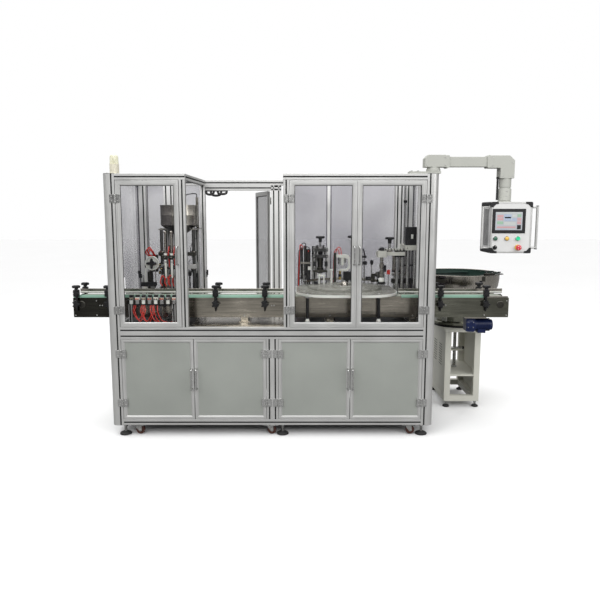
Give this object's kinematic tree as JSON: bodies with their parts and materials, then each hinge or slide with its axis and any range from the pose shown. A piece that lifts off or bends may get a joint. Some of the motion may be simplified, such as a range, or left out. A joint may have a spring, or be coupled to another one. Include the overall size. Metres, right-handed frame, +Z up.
{
  "type": "piston liquid filler",
  "caption": "Enclosed bottle filling and capping line on an aluminium profile frame, with a conveyor, dial table, hanging operator panel and cap feeder.",
  "frame": {"origin": "middle of the whole footprint, on the floor", "axes": "+X along the conveyor from infeed to outfeed, -Y towards the operator, +Z up"},
  "size_m": [3.186, 1.4946, 1.902],
  "materials": {
    "aluminium": "satin anodised extruded profile",
    "stainless": "brushed stainless steel",
    "sheet_panel": "grey powder-coated sheet",
    "glass": "clear lightly tinted pane",
    "white_nylon": "machined white nylon",
    "black_plastic": "moulded black plastic",
    "painted_casting": "pale grey-green painted casting",
    "zinc": "bright zinc and nickel plate",
    "stand_paint": "warm grey textured paint",
    "motor_paint": "navy blue enamel",
    "belt": "mint-green acetal slats",
    "red_hose": "red polyurethane tube",
    "green_plastic": "green push-button",
    "red_plastic": "red mushroom button",
    "beacon_housing": "beige ribbed lamp base",
    "caster_tread": "dark brown polyurethane tread"
  },
  "bodies": {
    "root": {"base_frame": "aluminium", "left_enclosure_frame": "aluminium", "right_enclosure_frame": "aluminium", "filling_frame": "aluminium", "deck_plate": "stainless", "conveyor_frame": "stainless", "hopper": "stainless", "cylinder_block": "stainless", "capping_frame": "stainless", "feeder_bowl": "stainless", "left_side_glass": "glass", "left_bay_glass": "glass", "right_bay_glass": "glass", "right_side_glass": "glass", "left_rear_glass": "glass", "right_rear_glass": "glass", "dial_table": "white_nylon", "product_hoses": "black_plastic", "valve_manifold": "zinc", "bowl_drive": "zinc", "feeder_stand": "stand_paint", "drive_motor": "motor_paint", "conveyor_belt": "belt", "air_hoses": "red_hose", "beacon": "beacon_housing"},
    "lower_door_1": {"lower_door_1": "sheet_panel"},
    "lower_door_2": {"lower_door_2": "sheet_panel"},
    "lower_door_3": {"lower_door_3": "sheet_panel"},
    "lower_door_4": {"lower_door_4": "sheet_panel"},
    "left_door": {"left_door": "aluminium", "left_door_glass": "glass"},
    "right_door_a": {"right_door_a": "aluminium", "right_door_a_glass": "glass"},
    "right_door_b": {"right_door_b": "aluminium", "right_door_b_glass": "glass"},
    "rear_door": {"rear_door": "aluminium"},
    "arm": {"arm": "painted_casting"},
    "pendant": {"pendant": "painted_casting"},
    "start_button": {"start_button": "green_plastic"},
    "e_stop": {"e_stop": "red_plastic"},
    "selector": {"selector": "black_plastic"},
    "drive_roller": {"drive_roller": "zinc"},
    "tail_roller": {"tail_roller": "zinc"},
    "star_wheel": {"star_wheel": "white_nylon"},
    "piston_crosshead": {"piston_crosshead": "aluminium"},
    "nozzle_bar": {"nozzle_bar": "stainless"},
    "volume_handwheel": {"volume_handwheel": "white_nylon"},
    "press_head": {"press_head": "stainless"},
    "capping_head": {"capping_head": "stainless"},
    "capping_spindle": {"capping_spindle": "white_nylon"},
    "caster_fork_front_left": {"caster_fork_front_left": "zinc"},
    "caster_wheel_front_left": {"caster_wheel_front_left": "caster_tread"},
    "caster_fork_front_middle": {"caster_fork_front_middle": "zinc"},
    "caster_wheel_front_middle": {"caster_wheel_front_middle": "caster_tread"},
    "caster_fork_front_right": {"caster_fork_front_right": "zinc"},
    "caster_wheel_front_right": {"caster_wheel_front_right": "caster_tread"},
    "caster_fork_rear_left": {"caster_fork_rear_left": "zinc"},
    "caster_wheel_rear_left": {"caster_wheel_rear_left": "caster_tread"},
    "caster_fork_rear_right": {"caster_fork_rear_right": "zinc"},
    "caster_wheel_rear_right": {"caster_wheel_rear_right": "caster_tread"}
  },
  "joints": [
    {"name": "lower_door_1_hinge", "type": "hinge", "parent": "root", "child": "lower_door_1", "pos_m": [-1.216, -0.66502, 0.399], "axis": [0, 0, -1], "range_deg": [0, 110]},
    {"name": "lower_door_2_hinge", "type": "hinge", "parent": "root", "child": "lower_door_2", "pos_m": [-0.236, -0.66502, 0.399], "axis": [0, 0, 1], "range_deg": [0, 90]},
    {"name": "lower_door_3_hinge", "type": "hinge", "parent": "root", "child": "lower_door_3", "pos_m": [-0.154, -0.66502, 0.399], "axis": [0, 0, -1], "range_deg": [0, 90]},
    {"name": "lower_door_4_hinge", "type": "hinge", "parent": "root", "child": "lower_door_4", "pos_m": [0.822, -0.66502, 0.399], "axis": [0, 0, 1], "range_deg": [0, 110]},
    {"name": "left_door_hinge", "type": "hinge", "parent": "root", "child": "left_door", "pos_m": [-1.216, -0.66502, 1.247], "axis": [0, 0, -1], "range_deg": [0, 110]},
    {"name": "right_door_a_hinge", "type": "hinge", "parent": "root", "child": "right_door_a", "pos_m": [-0.076, -0.66502, 1.247], "axis": [0, 0, -1], "range_deg": [0, 110]},
    {"name": "right_door_b_hinge", "type": "hinge", "parent": "root", "child": "right_door_b", "pos_m": [0.822, -0.66502, 1.247], "axis": [0, 0, 1], "range_deg": [0, 110]},
    {"name": "rear_door_hinge", "type": "hinge", "parent": "root", "child": "rear_door", "pos_m": [-0.236, 0.25098, 1.228], "axis": [0, 0, 1], "range_deg": [-35, 75]},
    {"name": "arm_swing", "type": "hinge", "parent": "root", "child": "arm", "pos_m": [0.868, -0.60702, 1.8], "axis": [0, 0, 1], "range_deg": [-90, 30]},
    {"name": "pendant_swivel", "type": "hinge", "parent": "arm", "child": "pendant", "pos_m": [1.343, -0.60702, 1.602], "axis": [0, 0, 1], "range_deg": [-60, 60]},
    {"name": "start_button_press", "type": "slide", "parent": "pendant", "child": "start_button", "axis": [0, 1, 0], "range_m": [0, 0.004], "stiffness_N_per_m": 300},
    {"name": "e_stop_press", "type": "slide", "parent": "pendant", "child": "e_stop", "axis": [0, 1, 0], "range_m": [0, 0.005]},
    {"name": "selector_turn", "type": "hinge", "parent": "pendant", "child": "selector", "pos_m": [1.259, -0.71702, 1.3], "axis": [0, -1, 0], "range_deg": [-45, 45]},
    {"name": "drive_roller_spin", "type": "hinge", "parent": "root", "child": "drive_roller", "pos_m": [1.393, -0.39202, 0.888], "axis": [0, 1, 0], "continuous": true},
    {"name": "tail_roller_spin", "type": "hinge", "parent": "root", "child": "tail_roller", "pos_m": [-1.533, -0.39202, 0.888], "axis": [0, 1, 0], "continuous": true},
    {"name": "star_wheel_index", "type": "hinge", "parent": "root", "child": "star_wheel", "pos_m": [0.325, -0.15702, 0.973], "axis": [0, 0, 1], "continuous": true},
    {"name": "piston_stroke", "type": "slide", "parent": "root", "child": "piston_crosshead", "axis": [0, 0, 1], "range_m": [0, 0.06]},
    {"name": "nozzle_lift", "type": "slide", "parent": "root", "child": "nozzle_bar", "axis": [0, 0, 1], "range_m": [0, 0.05]},
    {"name": "volume_adjust", "type": "hinge", "parent": "root", "child": "volume_handwheel", "pos_m": [-1.081, -0.25702, 1.16], "axis": [0, -1, 0], "range_deg": [-720, 720]},
    {"name": "press_stroke", "type": "slide", "parent": "root", "child": "press_head", "axis": [0, 0, 1], "range_m": [0, 0.05]},
    {"name": "capping_stroke", "type": "slide", "parent": "root", "child": "capping_head", "axis": [0, 0, 1], "range_m": [0, 0.05]},
    {"name": "capping_spin", "type": "hinge", "parent": "capping_head", "child": "capping_spindle", "pos_m": [0.591, -0.22802, 1.1], "axis": [0, 0, 1], "continuous": true},
    {"name": "caster_front_left_swivel", "type": "hinge", "parent": "root", "child": "caster_fork_front_left", "pos_m": [-1.128, -0.61202, 0.067], "axis": [0, 0, 1], "continuous": true},
    {"name": "caster_front_left_roll", "type": "hinge", "parent": "caster_fork_front_left", "child": "caster_wheel_front_left", "pos_m": [-1.114, -0.61202, 0.033], "axis": [0, 1, 0], "continuous": true},
    {"name": "caster_front_middle_swivel", "type": "hinge", "parent": "root", "child": "caster_fork_front_middle", "pos_m": [-0.216, -0.61202, 0.067], "axis": [0, 0, 1], "continuous": true},
    {"name": "caster_front_middle_roll", "type": "hinge", "parent": "caster_fork_front_middle", "child": "caster_wheel_front_middle", "pos_m": [-0.202, -0.61202, 0.033], "axis": [0, 1, 0], "continuous": true},
    {"name": "caster_front_right_swivel", "type": "hinge", "parent": "root", "child": "caster_fork_front_right", "pos_m": [0.743, -0.61202, 0.067], "axis": [0, 0, 1], "continuous": true},
    {"name": "caster_front_right_roll", "type": "hinge", "parent": "caster_fork_front_right", "child": "caster_wheel_front_right", "pos_m": [0.757, -0.61202, 0.033], "axis": [0, 1, 0], "continuous": true},
    {"name": "caster_rear_left_swivel", "type": "hinge", "parent": "root", "child": "caster_fork_rear_left", "pos_m": [-1.128, 0.19798, 0.067], "axis": [0, 0, 1], "continuous": true},
    {"name": "caster_rear_left_roll", "type": "hinge", "parent": "caster_fork_rear_left", "child": "caster_wheel_rear_left", "pos_m": [-1.114, 0.19798, 0.033], "axis": [0, 1, 0], "continuous": true},
    {"name": "caster_rear_right_swivel", "type": "hinge", "parent": "root", "child": "caster_fork_rear_right", "pos_m": [0.743, 0.19798, 0.067], "axis": [0, 0, 1], "continuous": true},
    {"name": "caster_rear_right_roll", "type": "hinge", "parent": "caster_fork_rear_right", "child": "caster_wheel_rear_right", "pos_m": [0.757, 0.19798, 0.033], "axis": [0, 1, 0], "continuous": true}
  ],
  "couplings": [
    {"joint": "tail_roller_spin", "follows": "drive_roller_spin", "ratio": 1}
  ]
}
